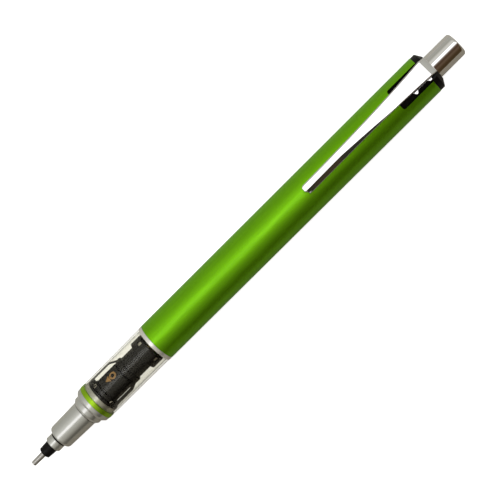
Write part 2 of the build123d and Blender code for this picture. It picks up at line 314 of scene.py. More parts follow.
# ---- materials ---------------------------------------------------------------------------------
class Shader:
    """A Principled material with a few procedural inputs, all from the object's own space."""

    def __init__(self, name, color, metallic=0.0, roughness=0.4, **sockets):
        self.material = bpy.data.materials.new(name)
        self.material.use_nodes = True
        self.tree = self.material.node_tree
        self.bsdf = self.tree.nodes["Principled BSDF"]
        self.color = color
        self.roughness = roughness
        self.bsdf.inputs["Base Color"].default_value = (*color, 1)
        self.bsdf.inputs["Metallic"].default_value = metallic
        self.bsdf.inputs["Roughness"].default_value = roughness
        for socket, value in sockets.items():
            self.bsdf.inputs[socket.replace("_", " ")].default_value = value
        self.coords = self.tree.nodes.new("ShaderNodeTexCoord").outputs["Object"]

    def node(self, kind, **values):
        node = self.tree.nodes.new(kind)
        for key, value in values.items():
            if hasattr(node, key):
                setattr(node, key, value)
            else:
                node.inputs[key.replace("_", " ").title()].default_value = value
        return node

    def link(self, source, target):
        self.tree.links.new(source, target)

    def noise(self, scale, stretch=(1, 1, 1), detail=3.0):
        """Noise with a scale in cells per millimetre, stretched along the axes."""
        mapping = self.node("ShaderNodeMapping")
        mapping.inputs["Scale"].default_value = stretch
        self.link(self.coords, mapping.inputs["Vector"])
        noise = self.node("ShaderNodeTexNoise")
        noise.inputs["Scale"].default_value = scale / MM
        noise.inputs["Detail"].default_value = detail
        self.link(mapping.outputs["Vector"], noise.inputs["Vector"])
        return noise.outputs["Fac"]

    def span(self, value, low, high):
        """Maps a 0 to 1 value to a range."""
        ranged = self.node("ShaderNodeMapRange")
        ranged.inputs["From Min"].default_value = 0.25
        ranged.inputs["From Max"].default_value = 0.75
        ranged.inputs["To Min"].default_value = low
        ranged.inputs["To Max"].default_value = high
        self.link(value, ranged.inputs["Value"])
        return ranged.outputs["Result"]

    def vary_roughness(self, value, spread):
        low, high = self.roughness - spread, self.roughness + spread
        self.link(self.span(value, low, high), self.bsdf.inputs["Roughness"])
        return self

    def vary_color(self, value, share):
        """Lightens and darkens the base colour by a share of itself."""
        mix = self.node("ShaderNodeMix", data_type="RGBA")
        colour_inputs = [s for s in mix.inputs if s.type == "RGBA"]
        colour_inputs[0].default_value = (*[c * (1 - share) for c in self.color], 1)
        colour_inputs[1].default_value = (*[min(1, c * (1 + share)) for c in self.color], 1)
        self.link(self.span(value, 0, 1), mix.inputs["Factor"])
        colour_output = [s for s in mix.outputs if s.type == "RGBA"][0]
        self.link(colour_output, self.bsdf.inputs["Base Color"])
        return self

    def bump(self, value, height, strength=1.0):
        """Raises the surface by up to height millimetres."""
        bump = self.node("ShaderNodeBump")
        bump.inputs["Strength"].default_value = strength
        bump.inputs["Distance"].default_value = height * MM
        self.link(value, bump.inputs["Height"])
        self.link(bump.outputs["Normal"], self.bsdf.inputs["Normal"])
        return self


def turned_metal(name, color, roughness, metallic=1.0, groove=0.0006, film=0.0):
    """Lathe-turned metal: a satin ground, fine rings round the axis and a bright film."""
    shader = Shader(
        name, color, metallic, roughness, Coat_Weight=film, Coat_Roughness=0.05, Coat_IOR=2.8
    )
    rings = shader.noise(9, (1, 0.02, 0.02))
    shader.bump(rings, groove)
    shader.vary_roughness(shader.noise(0.6), 0.03)
    return shader.material


def polished_chrome(name, color, roughness=0.04):
    shader = Shader(name, color, 1.0, roughness)
    shader.vary_roughness(shader.noise(0.5), 0.015)
    shader.bump(shader.noise(0.9, detail=1.0), 0.0006)
    return shader.material


def anodised(name, color, roughness):
    """Brushed and anodised aluminium: fine lines along the axis under a dyed film."""
    shader = Shader(name, color, 1.0, roughness, Coat_Weight=0.15, Coat_Roughness=0.15)
    lines = shader.noise(8, (0.02, 1, 1))
    shader.bump(lines, 0.0008)
    shader.vary_roughness(shader.noise(3, (0.05, 1, 1)), 0.05)
    shader.vary_color(shader.noise(1.2, (0.1, 1, 1)), 0.06)
    return shader.material


def moulded(name, color, roughness=0.35, grain=0.001, gloss=0.5):
    """Moulded plastic or rubber with a fine skin."""
    shader = Shader(name, color, 0.0, roughness, Specular_IOR_Level=gloss)
    shader.bump(shader.noise(14), grain)
    shader.vary_roughness(shader.noise(2), 0.05)
    shader.vary_color(shader.noise(0.8), 0.1)
    return shader.material


def clear_plastic(name):
    """Clear wall: see-through, with a mirror film that grows towards its edges."""
    material = bpy.data.materials.new(name)
    material.use_nodes = True
    tree = material.node_tree
    tree.nodes.clear()
    output = tree.nodes.new("ShaderNodeOutputMaterial")
    through = tree.nodes.new("ShaderNodeBsdfTransparent")
    through.inputs["Color"].default_value = (0.94, 0.935, 0.90, 1)
    gloss = tree.nodes.new("ShaderNodeBsdfGlossy")
    gloss.inputs["Roughness"].default_value = 0.06
    facing = tree.nodes.new("ShaderNodeLayerWeight")
    facing.inputs["Blend"].default_value = 0.5
    power = tree.nodes.new("ShaderNodeMath")
    power.operation = "POWER"
    power.inputs[1].default_value = 4
    share = tree.nodes.new("ShaderNodeMath")
    share.operation = "MULTIPLY_ADD"
    share.inputs[1].default_value = 0.9
    share.inputs[2].default_value = 0.012
    mix = tree.nodes.new("ShaderNodeMixShader")
    tree.links.new(facing.outputs["Facing"], power.inputs[0])
    tree.links.new(power.outputs[0], share.inputs[0])
    tree.links.new(share.outputs[0], mix.inputs["Fac"])
    tree.links.new(through.outputs[0], mix.inputs[1])
    tree.links.new(gloss.outputs[0], mix.inputs[2])
    tree.links.new(mix.outputs[0], output.inputs["Surface"])
    return material


MATERIALS = {
    "nose_metal": turned_metal("nose_metal", (0.57, 0.57, 0.52), 0.34, 0.7, film=1.0),
    "steel_pipe": turned_metal("steel_pipe", (0.55, 0.53, 0.50), 0.40),
    "bright_ring": turned_metal("bright_ring", (0.88, 0.85, 0.78), 0.34, 0.5, film=1.0),
    "green_ring": anodised("green_ring", (0.36, 0.64, 0.02), 0.42),
    "barrel_green": anodised("barrel_green", (0.215, 0.60, 0.005), 0.45),
    "clip_chrome": polished_chrome("clip_chrome", (0.93, 0.92, 0.92)),
    "button_chrome": polished_chrome("button_chrome", (0.86, 0.84, 0.82), 0.06),
    "black_plastic": moulded("black_plastic", (0.005, 0.004, 0.004), 0.38, gloss=0.15),
    "engine_plastic": moulded("engine_plastic", (0.006, 0.004, 0.003), 0.20, gloss=0.5),
    "rotor_plastic": moulded("rotor_plastic", (0.006, 0.004, 0.003), 0.20, gloss=0.5),
    "cam_plastic": moulded("cam_plastic", (0.02, 0.016, 0.015), 0.35, gloss=0.2),
    "ivory_plastic": moulded("ivory_plastic", (0.80, 0.76, 0.66), 0.45),
    "tank_plastic": moulded("tank_plastic", (0.62, 0.62, 0.60), 0.4),
    "brake_rubber": moulded("brake_rubber", (0.03, 0.03, 0.03), 0.7),
    "eraser_rubber": moulded("eraser_rubber", (0.85, 0.85, 0.83), 0.75),
    "graphite": moulded("graphite", (0.05, 0.05, 0.055), 0.35),
    "spring_steel": turned_metal("spring_steel", (0.6, 0.6, 0.6), 0.25),
    "chuck_brass": turned_metal("chuck_brass", (0.80, 0.62, 0.28), 0.25),
    "clear_plastic": clear_plastic("clear_plastic"),
}
GOLD_PRINT = moulded("gold_print", (0.50, 0.28, 0.10), 0.40)

for part in frame["record"]["subparts"]:
    node = frame["nodes"][part["node"]]
    node.data.materials.clear()
    node.data.materials.append(MATERIALS[part["material_slot"]])


# ---- nose --------------------------------------------------------------------------------------
PIPE_START, PIPE_END = ends("lead_sleeve")
CONE_START, CONE_END = ends("slider")
BUSH_START, BUSH_END = ends("tip_bush")
NOSE_START, NOSE_END = ends("nose_cone")
COLLAR_START, COLLAR_END = ends("front_joint")
GREEN_START, GREEN_END = ends("accent_ring")
GRIP_START, GRIP_END = ends("clear_grip")
SILVER_START, SILVER_END = ends("middle_ring")
BARREL_START, BARREL_END = ends("barrel")
PLUG_START, PLUG_END = ends("tail_plug")
BUTTON_START, BUTTON_END = ends("button_cap")


JOINT_SLEEVE_R = 4.4 * MM       # carries the green ring
JOINT_PLUG_R = 4.62 * MM        # fits in the clear grip
JOINT_BORE_R = 4.1 * MM
THREAD_R = 3.35 * MM
BUSH_NECK_R = 1.98 * MM
NOSE_BORE_R = 2.6 * MM


def make_tip():
    """Guide pipe, black cone and the bright bush in the nose's mouth."""
    pipe_r = radius("lead_sleeve")
    bore = 0.31 * MM
    pipe = lathe("pipe", [
        (PIPE_START, bore), (PIPE_START, pipe_r * 0.86, 0.2 * MM), (CONE_START, pipe_r),
        (PIPE_END, pipe_r), (PIPE_END, bore),
    ], segments=48)
    place(pipe, "tip_slider", MATERIALS["steel_pipe"], "steel_pipe", "lead_sleeve")

    flange_r = radius("slider")
    cone_r = 1.70 * MM
    flange_x = at(12.3)
    cone = lathe("black_cone", [
        (CONE_START, pipe_r + 0.03 * MM), (CONE_START, 1.52 * MM, 0.3 * MM),
        (BUSH_START, cone_r), (flange_x, cone_r), (flange_x, flange_r, 0.1 * MM),
        (CONE_END, flange_r, 0.1 * MM), (CONE_END, 1.15 * MM), (PIPE_END, 1.15 * MM),
        (PIPE_END, pipe_r + 0.01 * MM),
    ], segments=96)
    place(cone, "tip_slider", MATERIALS["black_plastic"], "black_plastic", "slider")

    bush_r = radius("tip_bush")
    neck_x = at(8.6)
    bush = lathe("bush", [
        (BUSH_START, 1.75 * MM), (BUSH_START, bush_r, 0.3 * MM), (neck_x, bush_r, 0.08 * MM),
        (neck_x, BUSH_NECK_R - 0.08 * MM), (NOSE_START, BUSH_NECK_R - 0.08 * MM),
        (NOSE_START, BUSH_NECK_R), (BUSH_END, BUSH_NECK_R), (BUSH_END, 1.75 * MM),
    ], segments=96)
    place(bush, "holder", MATERIALS["nose_metal"], "nose_metal", "tip_bush")
    # A black ring in the bush's neck groove: painted shade that darkens the groove.
    neck_shade_ring = lathe("bush_neck_shade", [
        (neck_x + 0.02 * MM, 1.91 * MM), (neck_x + 0.02 * MM, 1.99 * MM),
        (NOSE_START + 0.2 * MM, 1.99 * MM), (NOSE_START + 0.2 * MM, 1.91 * MM),
    ], segments=96)
    place(neck_shade_ring, "holder", MATERIALS["black_plastic"], "black_plastic")


def make_nose():
    """Nose with its wider step, the collar behind it and the grooves between them; black rings at
    the groove bottoms are painted shade.
    """
    groove = 0.12 * MM
    groove_x = at(18.02)
    step_r = radius("nose_cone")
    neck_r = 3.3 * MM
    nose = lathe("nose", [
        (NOSE_START, 1.985 * MM), (NOSE_START, 3.22 * MM, 0.85 * MM),
        (groove_x, 3.44 * MM, 0.06 * MM), (groove_x, neck_r),
        (groove_x + groove, neck_r), (groove_x + groove, 3.52 * MM, 0.05 * MM),
        (groove_x + 0.75 * MM, step_r, 0.3 * MM), (COLLAR_START - groove, step_r, 0.08 * MM),
        (COLLAR_START - groove, neck_r), (NOSE_END, neck_r), (NOSE_END, NOSE_BORE_R),
        (BUSH_END, NOSE_BORE_R), (BUSH_END, 1.985 * MM),
    ])
    place(nose, "holder", MATERIALS["nose_metal"], "nose_metal", "nose_cone")
    shoulder = COLLAR_START + 0.5 * MM
    collar = lathe("collar", [
        (COLLAR_START, THREAD_R), (COLLAR_START, 4.5 * MM, 0.06 * MM),
        (shoulder, 4.92 * MM, 0.2 * MM), (GREEN_START, 5.02 * MM, 0.05 * MM),
        (GREEN_START, JOINT_SLEEVE_R), (GREEN_END, JOINT_SLEEVE_R), (GREEN_END, JOINT_PLUG_R),
        (COLLAR_END, JOINT_PLUG_R, 0.06 * MM), (COLLAR_END, JOINT_BORE_R),
        (NOSE_END, JOINT_BORE_R), (NOSE_END, THREAD_R),
    ])
    place(collar, "holder", MATERIALS["nose_metal"], "nose_metal", "front_joint")
    # Black rings at the bottom of both grooves: painted shade that makes them read as dark lines.
    for name, start, end in (
        ("nose_groove_shade", groove_x, groove_x + groove),
        ("collar_groove_shade", COLLAR_START - groove, COLLAR_START),
    ):
        ring = lathe(name, [
            (start, 3.25 * MM), (start, 3.33 * MM), (end, 3.33 * MM), (end, 3.25 * MM),
        ])
        place(ring, "holder", MATERIALS["black_plastic"], "black_plastic")


def make_rings_and_grip():
    """Green ring, clear sleeve and the bright ring behind it."""
    ring_r = radius("accent_ring")
    green = lathe("green_ring", [
        (GREEN_START, JOINT_SLEEVE_R), (GREEN_START, ring_r, 0.12 * MM),
        (GREEN_END, ring_r, 0.03 * MM), (GREEN_END, JOINT_SLEEVE_R),
    ])
    place(green, "holder", MATERIALS["green_ring"], "green_ring", "accent_ring")

    wall_bore = 4.65 * MM
    spigot_r, spigot_bore = 4.58 * MM, 3.9 * MM
    web = at(41.25)
    sunk = 0.05 * MM                # its front face is hidden in the green ring
    grip = lathe("clear_sleeve", [
        (GRIP_START - sunk, wall_bore), (GRIP_START - sunk, ring_r - 0.02 * MM),
        (SILVER_START, 5.15 * MM, 0.05 * MM), (SILVER_START, spigot_r),
        (GRIP_END, spigot_r), (GRIP_END, spigot_bore), (web, spigot_bore), (web, wall_bore),
    ])
    place(grip, "holder", MATERIALS["clear_plastic"], "clear_plastic", "clear_grip")

    silver_r = radius("middle_ring")
    silver = lathe("silver_ring", [
        (SILVER_START, spigot_r), (SILVER_START, silver_r, 0.14 * MM),
        (SILVER_END, silver_r, 0.08 * MM), (SILVER_END, spigot_r),
    ])
    place(silver, "holder", MATERIALS["bright_ring"], "bright_ring", "middle_ring")


# ---- turning engine ----------------------------------------------------------------------------
FRAME_START, FRAME_END = ends("engine_frame")
BODY_START, BODY_END = ends("engine_body")
ROTOR_START, ROTOR_END = ends("rotor")
CAM_START = ends("lower_cam")[0]
RAIL_ANGLES = [math.radians(degrees) for degrees in (-81, 68, 173)]
WINDOW_ANGLES = [math.radians(degrees) for degrees in (-156, -96, -36, 57, 117, 177)]
RAIL_OUTER = 4.55 * MM
RAIL_THICK = 0.4 * MM
RAIL_WIDTH = 1.2 * MM
CAM_OUTER = 3.2 * MM
CAM_THICK = 0.45 * MM
RAIL_BEND = at(30.75)
FRAME_COLLAR = at(32.25)
FRAME_COLLAR_R = 3.6 * MM
DRUM_START = at(25.95)
DRUM_END = at(31.75)
DRUM_R = 3.3 * MM
REAR_COLLAR = at(37.9)
WAIST_R = 3.14 * MM
FLANGE_START = at(39.2)
FLANGE_R = 3.43 * MM
TOOTH_COUNT = 24


def tooth_ring(name, x, inner, outer, height, turn=0.0):
    """Radial ridges standing on a station; a negative height points to the tip."""
    half = math.pi / TOOTH_COUNT * 0.7
    verts, faces = [], []
    for index in range(TOOTH_COUNT):
        middle = turn + 2 * math.pi * index / TOOTH_COUNT
        start = len(verts)
        for r in (inner, outer):
            for offset, rise in ((-half, 0), (0, height), (half, 0)):
                verts.append(studio_point(x + rise, r, middle + offset)[:])
        faces.append([start, start + 1, start + 2])
        faces.append([start + 3, start + 4, start + 5])
        for first, second in ((0, 1), (1, 2), (2, 0)):
            faces.append([start + first, start + second, start + second + 3, start + first + 3])
    obj = mesh_object(name, verts, faces, smooth=False)
    tidy_normals(obj)
    return obj


def make_engine():
    """Frame with its rails and skirt, the rear body with windows, and the toothed drum."""
    edge = 0.06 * MM
    front = lathe("front_ring", [
        (FRAME_START, 4.2 * MM, edge), (FRAME_START, RAIL_OUTER, edge),
        (FRAME_START + 0.4 * MM, RAIL_OUTER, edge), (FRAME_START + 0.4 * MM, 4.2 * MM, edge),
    ])
    cam_end = CAM_START + CAM_THICK
    cam = lathe("cam_ring", [
        (FRAME_START, CAM_OUTER, edge), (FRAME_START, CAM_OUTER + 0.3 * MM, edge),
        (cam_end, CAM_OUTER + 0.3 * MM, edge), (cam_end, CAM_OUTER, edge),
    ])
    collar = lathe("frame_collar", [
        (FRAME_COLLAR, 3.0 * MM), (FRAME_COLLAR, FRAME_COLLAR_R, edge),
        (FRAME_END - 0.15 * MM, FRAME_COLLAR_R, edge), (FRAME_END, FRAME_COLLAR_R - 0.2 * MM),
        (FRAME_END, 3.0 * MM),
    ])
    middle = RAIL_OUTER - RAIL_THICK / 2
    path = rounded([
        (FRAME_START, middle), (RAIL_BEND, middle, 0.8 * MM),
        (FRAME_COLLAR + 0.3 * MM, FRAME_COLLAR_R - RAIL_THICK / 2),
    ])
    a, b, c = RAIL_WIDTH / 2, RAIL_THICK / 2, 0.08 * MM
    bar = [(-a, c - b), (-a, b - c), (c - a, b), (a - c, b), (a, b - c), (a, c - b),
           (a - c, -b), (c - a, -b)]
    parts = [front, cam, collar]
    for index, angle in enumerate(RAIL_ANGLES):
        rail = swept_sheet(f"rail_{index}", path, lambda x, step: bar, angle)
        parts.append(smooth_by_angle(rail, 50))
        arm = box_piece(
            f"arm_{index}", (CAM_START, CAM_START + 0.22 * MM), (-a, a), (3.3 * MM, 4.3 * MM)
        )
        turn_about_axis(arm, angle)
        parts.append(arm)
    frame_piece = joined("engine_frame_piece", parts)
    place(frame_piece, "holder", MATERIALS["engine_plastic"], "engine_plastic", "engine_frame")

    # Two pale patches on the black skirt in front of the drum.
    spots = []
    for degrees in (-49, 60):
        corners = [(-0.5, -0.35), (-0.5, 0.35), (-0.3, 0.6), (0.3, 0.6), (0.5, 0.35), (0.5, -0.35),
                   (0.3, -0.6), (-0.3, -0.6)]
        outline = [(along * MM, around * MM) for along, around in corners]
        skirt_r = CAM_OUTER + 0.3 * MM
        spots.append(curved_patch(
            "spot", outline, skirt_r - 0.05 * MM, skirt_r + 0.03 * MM, math.radians(degrees),
            FRAME_START + 0.7 * MM,
        ))
    place(joined("skirt_spots", spots), "holder", MATERIALS["ivory_plastic"], "ivory_plastic")

    rear_r = radius("engine_body")
    room_r, room_end = FLANGE_R + 0.02 * MM, BODY_END - 0.25 * MM
    body = lathe("engine_body_piece", [
        (BODY_START, 2.98 * MM), (BODY_START + 0.2 * MM, 2.98 * MM),
        (BODY_START + 0.2 * MM, WAIST_R, edge), (REAR_COLLAR - 0.3 * MM, WAIST_R),
        (REAR_COLLAR, rear_r, 0.1 * MM), (BODY_END, rear_r, 0.15 * MM), (BODY_END, 2.6 * MM),
        (room_end, 2.6 * MM), (room_end, room_r), (FLANGE_START, room_r),
        (FLANGE_START, 2.6 * MM), (BODY_START, 2.6 * MM),
    ])
    bake(body)
    slots = []
    for angle in WINDOW_ANGLES:
        slot = box_piece("slot", (at(39.4), room_end), (-0.65 * MM, 0.65 * MM), (3.2 * MM, 5 * MM))
        turn_about_axis(slot, angle)
        slots.append(slot)
    cut(body, *slots)
    smooth_by_angle(body)
    place(body, "holder", MATERIALS["engine_plastic"], "engine_plastic", "engine_body")

    spindle_r, spindle_bore = 1.9 * MM, 1.45 * MM
    drum = lathe("rotor_piece", [
        (ROTOR_START, 2.0 * MM), (ROTOR_START, 2.4 * MM, 0.1 * MM), (DRUM_START, 2.4 * MM),
        (DRUM_START, DRUM_R, 0.12 * MM), (DRUM_END, DRUM_R, 0.12 * MM), (DRUM_END, spindle_r),
        (ROTOR_END, spindle_r, 0.08 * MM), (ROTOR_END, spindle_bore), (at(31.4), spindle_bore),
        (at(31.4), 2.0 * MM), (at(22.65), 2.0 * MM), (at(22.65), 1.2 * MM), (at(22.05), 1.2 * MM),
        (at(22.05), 2.0 * MM),
    ])
    front_teeth = tooth_ring("front_teeth", DRUM_START, 2.6 * MM, 3.1 * MM, -0.3 * MM)
    rear_teeth = tooth_ring("rear_teeth", DRUM_END, 2.35 * MM, 2.9 * MM, 0.3 * MM)
    rotor = joined("rotor_body", [drum, front_teeth, rear_teeth])
    smooth_by_angle(rotor)
    place(rotor, "turning_engine", MATERIALS["rotor_plastic"], "rotor_plastic", "rotor")


def turn_about_axis(obj, angle):
    """Carries a piece drawn over the axis, with z as its height, round to an angle."""
    for vertex in obj.data.vertices:
        x, aside, out = vertex.co
        side = Vector((0, -math.cos(angle), -math.sin(angle)))
        vertex.co = studio_point(x, out, angle) + side * aside
    tidy_normals(obj)


def make_index_mark():
    """A printed ring and arrowhead that show the drum turning."""
    low, high = DRUM_R - 0.02 * MM, DRUM_R + 0.015 * MM
    angle = math.radians(-24)
    parts = []
    steps = 40
    ring_x, outer, inner = at(29.9), 0.95 * MM, 0.5 * MM
    for index in range(steps):
        a0 = 2 * math.pi * index / steps
        a1 = 2 * math.pi * (index + 1) / steps
        quad = [
            (r * math.cos(a), r * math.sin(a))
            for r, a in ((outer, a0), (outer, a1), (inner, a1), (inner, a0))
        ]
        parts.append(curved_patch("ring_bit", quad, low, high, angle, ring_x))
    reach, half, slices = 1.3 * MM, 0.9 * MM, 12
    for index in range(slices):
        sides = [half * (2 * (index + end) / slices - 1) for end in (0, 1)]
        tips = [-reach * (1 - abs(side) / half) for side in sides]
        base = 0.02 * MM
        strip = [(tips[0], sides[0]), (tips[1], sides[1]), (base, sides[1]), (base, sides[0])]
        parts.append(curved_patch("arrow_bit", strip, low, high, angle, at(28.85)))
    mark = joined("index_mark", parts)
    mark.data.polygons.foreach_set("use_smooth", [False] * len(mark.data.polygons))
    place(mark, "turning_engine", GOLD_PRINT, "chuck_brass")


# ---- barrel, plug and button -------------------------------------------------------------------
NOTCH_START = at(122.8)
NOTCH_WIDTH = 6.0 * MM
FLAT_HEIGHT = 4.45 * MM         # top of the plug under the clip, above the axis


def make_barrel():
    """Green tube with the notch that the clip's leaf lies in."""
    outer = radius("barrel")
    bore = 4.6 * MM
    body = lathe("barrel_tube", [
        (BARREL_START, bore), (BARREL_START, outer, 0.15 * MM), (BARREL_END, outer, 0.08 * MM),
        (BARREL_END, bore),
    ], segments=192)
    bake(body)
    half, corner = NOTCH_WIDTH / 2, 0.5 * MM
    outline = [(BARREL_END + 1 * MM, -half), (BARREL_END + 1 * MM, half)]
    for side, start in ((1, 90), (-1, 180)):
        centre_x, centre_y = NOTCH_START + corner, side * (half - corner)
        for step in range(7):
            angle = math.radians(start + step * 15)
            outline.append(
                (centre_x + corner * math.cos(angle), centre_y + corner * math.sin(angle))
            )
    notch = plate("notch", outline, AXIS_Z + 2 * MM, AXIS_Z + 8 * MM)
    cut(body, notch)
    smooth_by_angle(body)
    place(body, "holder", MATERIALS["barrel_green"], "barrel_green", "barrel")


def make_plug():
    """Black plug with a flat under the clip, open for the tank and the button."""
    core_r, head_r = 4.58 * MM, 5.18 * MM
    shoulder = PLUG_END - 0.95 * MM
    tank_hole, button_hole = 2.72 * MM, 3.23 * MM
    seat = PLUG_END - 2.9 * MM
    plug = lathe("plug", [
        (PLUG_START, tank_hole), (PLUG_START, core_r, 0.1 * MM), (BARREL_END, core_r),
        (BARREL_END, head_r, 0.05 * MM), (shoulder, head_r, 0.3 * MM),
        (PLUG_END, 3.6 * MM, 0.1 * MM), (PLUG_END, button_hole), (seat, button_hole),
        (seat, tank_hole),
    ])
    bake(plug)
    flat = box_piece(
        "flat", (NOTCH_START, PLUG_END + 1 * MM), (-6 * MM, 6 * MM),
        (AXIS_Z + FLAT_HEIGHT, AXIS_Z + 8 * MM),
    )
    cut(plug, flat)
    smooth_by_angle(plug)
    place(plug, "holder", MATERIALS["black_plastic"], "black_plastic", "tail_plug")


def make_button():
    """Chrome cap, open towards the tank."""
    outer, bore = radius("button_cap"), 2.64 * MM
    cap = lathe("button", [
        (BUTTON_START, bore), (BUTTON_START, outer, 0.12 * MM), (BUTTON_END, outer, 0.8 * MM),
        (BUTTON_END, 0), (BUTTON_END - 0.8 * MM, 0), (BUTTON_END - 0.8 * MM, bore),
    ], closed=False)
    place(cap, "button", MATERIALS["button_chrome"], "button_chrome", "button_cap")


# ---- clip --------------------------------------------------------------------------------------
CLIP_TIP, CLIP_REAR = ends("clip")
CLIP_BEND = at(132.55)
LEAF_START = at(126.85)
TIP_HALF, ROOT_HALF = 1.275 * MM, 2.225 * MM
FLARE = 2.8                     # the clip widens slowly at first, then fast towards its root
CLIP_SKEW = math.radians(0.68)  # the clip stands a little askew to the barrel
SKEW_CENTRE = at(118.0)
FACE_LOW, FACE_HIGH = 6.75 * MM, 7.05 * MM
LEAF_TOP = 5.25 * MM
SHEET = 0.45 * MM


def clip_section(on_leaf):
    """Outline across the clip: a flat face with rolled sides that fade out to the root."""
    def section(x, index):
        share = min(max((x - CLIP_TIP) / (CLIP_BEND - CLIP_TIP), 0), 1)
        half = TIP_HALF + (ROOT_HALF - TIP_HALF) * share ** FLARE
        if on_leaf(index):
            half = ROOT_HALF - 0.1 * MM
            near = far = 0.1 * MM
            slope = 0.3
        else:
            end = (x - CLIP_TIP) / (0.9 * MM)
            if end < 1:
                half *= 0.55 + 0.45 * math.sqrt(max(1 - (1 - end) ** 2, 0))
            fade = min(max((share - 0.3) / 0.4, 0), 1)
            near = min(1.0 - 0.88 * fade, half / MM * 0.85) * MM
            far = 0.28 * MM
            slope = math.tan(math.radians(44))
        soft = 0.04 * MM
        stops = [-half, far - half - soft, far - half + soft, 0 * MM,
                 half - near - soft, half - near + soft, half]
        if stops[3] > stops[4]:
            stops[3] = (stops[2] + stops[4]) / 2
        def drop(aside):
            if aside > half - near:
                return (aside - half + near) * slope
            if aside < far - half:
                return (far - half - aside) * slope
            return 0.0
        top = [(aside, SHEET / 2 - drop(aside)) for aside in stops]
        low = [(aside, -SHEET / 2 - drop(aside)) for aside in reversed(stops)]
        trim = 0.05 * MM
        first, last = top[0], top[-1]
        top[0] = (first[0] + trim, first[1] + trim * slope)
        top[-1] = (last[0] - trim, last[1] + trim * slope)
        return [(first[0], first[1] - trim)] + top + [(last[0], last[1] - trim)] + low
    return section


def make_clip():
    """Sheet clip folded under at its root: lug and wing on the leaf, a bead at its tip."""
    half_sheet = SHEET / 2
    face_low, face_high = FACE_LOW - half_sheet, FACE_HIGH - half_sheet
    leaf = LEAF_TOP - half_sheet
    rear = CLIP_REAR - half_sheet
    turn_down = 0.62 * MM
    corners = [
        (CLIP_TIP + half_sheet * 0.8, face_low - turn_down),
        (CLIP_TIP + half_sheet, face_low, 0.4 * MM),
    ]
    steps = 26
    for index in range(1, steps):
        share = index / steps
        corners.append((
            CLIP_TIP + (CLIP_BEND - CLIP_TIP) * share, face_low + (face_high - face_low) * share
        ))
    corners += [
        (CLIP_BEND, face_high, 0.2 * MM), (rear, face_high - (rear - CLIP_BEND) * 0.85, 0.25 * MM),
        (rear, leaf, 0.2 * MM), (LEAF_START, leaf),
    ]
    path = rounded(corners)
    turn_index = max(range(len(path)), key=lambda i: path[i].x)
    sheet = swept_sheet("clip_sheet", path, clip_section(lambda index: index > turn_index))
    smooth_by_angle(sheet, 24)
    parts = [sheet]
    leaf_low = AXIS_Z + LEAF_TOP - SHEET
    leaf_high = AXIS_Z + LEAF_TOP
    for name, outline in (
        ("lug", [(126.85, 1.5), (126.95, 2.1), (127.4, 2.75), (127.8, 2.75), (128.3, 2.1),
                 (128.35, 1.5)]),
        ("wing", [(130.9, 1.5), (131.0, 2.0), (131.7, 2.75), (132.3, 2.75), (132.4, 1.5)]),
    ):
        corners = [(at(station), -reach * MM) for station, reach in outline]
        parts.append(bevel(plate(name, corners, leaf_low, leaf_high), 0.1 * MM))
    bead = lathe("bead", [
        (CLIP_TIP + 0.5 * MM, 0), (CLIP_TIP + 0.5 * MM, 0.55 * MM, 0.5 * MM),
        (CLIP_TIP + 1.7 * MM, 0.55 * MM, 0.5 * MM), (CLIP_TIP + 1.7 * MM, 0),
    ], closed=False, segments=32)
    for vertex in bead.data.vertices:
        vertex.co.z += 5.88 * MM
    parts.append(bead)
    clip = joined("pocket_clip", parts)
    for vertex in clip.data.vertices:
        vertex.co.y += math.tan(CLIP_SKEW) * (vertex.co.x - SKEW_CENTRE)
    smooth_by_angle(clip, 24)
    place(clip, "clip_arm", MATERIALS["clip_chrome"], "clip_chrome", "clip")


def make_spring(node, body, wire, turns):
    """A round-wire coil along its node's length."""
    start, end = ends(node)
    mean = radius(node) - wire
    sides, steps = 8, 24 * turns
    verts, faces = [], []
    for step in range(steps + 1):
        share = step / steps
        x = start + wire + (end - start - 2 * wire) * share
        turn = 2 * math.pi * turns * share
        for side in range(sides):
            around = 2 * math.pi * side / sides
            out = mean + wire * math.sin(around)
            verts.append(studio_point(x + wire * math.cos(around), out, turn)[:])
    for step in range(steps):
        for side in range(sides):
            a, b = step * sides + side, step * sides + (side + 1) % sides
            faces.append([a, b, b + sides, a + sides])
    faces.append(list(range(sides)))
    faces.append(list(range(steps * sides, (steps + 1) * sides)))
    spring = mesh_object(node + "_coil", verts, faces)
    tidy_normals(spring)
    place(spring, body, MATERIALS["spring_steel"], "spring_steel", node)
    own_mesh(spring)


def make_springs():
    make_spring(
        "cushion_spring", "holder", 0.12 * MM, 4
    )
    make_spring("tank_spring", "holder", 0.2 * MM, 7)
    make_spring("chuck_spring", "turning_engine", 0.13 * MM, 9)


make_tip()
make_nose()
make_rings_and_grip()
make_engine()
make_index_mark()
make_barrel()
make_plug()
make_button()
make_clip()
make_springs()


# ---- camera, light and floor -------------------------------------------------------------------
VIEW_FROM_TIP = 0.07414         # the point of the axis in the middle of the view
VIEW_OFFSET = 0.0002            # the axis passes this far beside the middle
CAMERA_DISTANCE = 0.35495
CAMERA_LEAN = math.radians(6.4)     # towards the button end
CAMERA_SWING = math.radians(7.2)    # about the axis, away from the clip
IMAGE_ANGLE = math.radians(44.83)   # slope of the axis in the view
SENSOR = 36.0
LENS = 108.0


